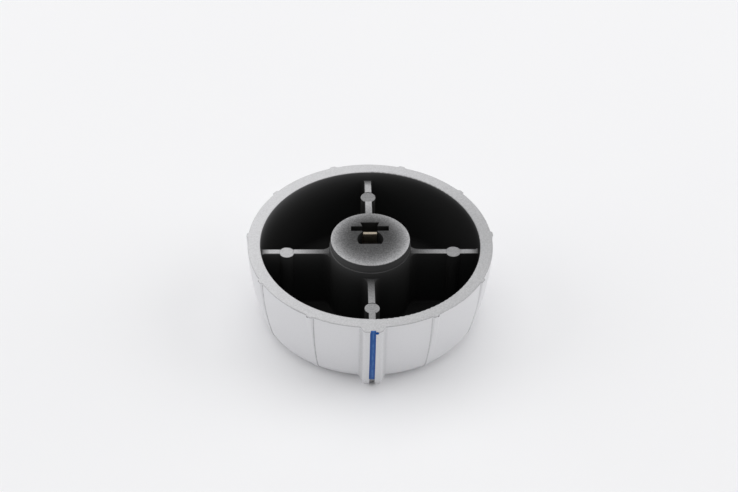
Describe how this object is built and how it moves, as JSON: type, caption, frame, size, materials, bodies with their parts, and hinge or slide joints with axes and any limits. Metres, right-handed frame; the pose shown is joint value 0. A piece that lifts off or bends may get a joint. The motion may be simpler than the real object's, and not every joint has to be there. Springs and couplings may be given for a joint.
{
  "type": "control knob",
  "caption": "Round appliance control knob with a bowl-shaped ribbed grip, a raised side pointer with an inlaid line, and a hollow back with a sprung D-shaft socket on inner ribs.",
  "frame": {"origin": "centre of the flat front face, on which the knob lies", "axes": "+Z along the shaft axis, out of the hollow back; the pointer is on the -Y side"},
  "size_m": [0.0584, 0.0596, 0.022],
  "materials": {
    "silver_painted_plastic": "satin silver spray paint over black moulded plastic, bare and black inside",
    "spring_bronze": "rolled strip, slightly dull",
    "blue_fill_paint": "semi-gloss fill paint"
  },
  "bodies": {
    "root": {"knob_body": "silver_painted_plastic", "shaft_spring": "spring_bronze", "pointer_inlay": "blue_fill_paint"}
  },
  "joints": []
}
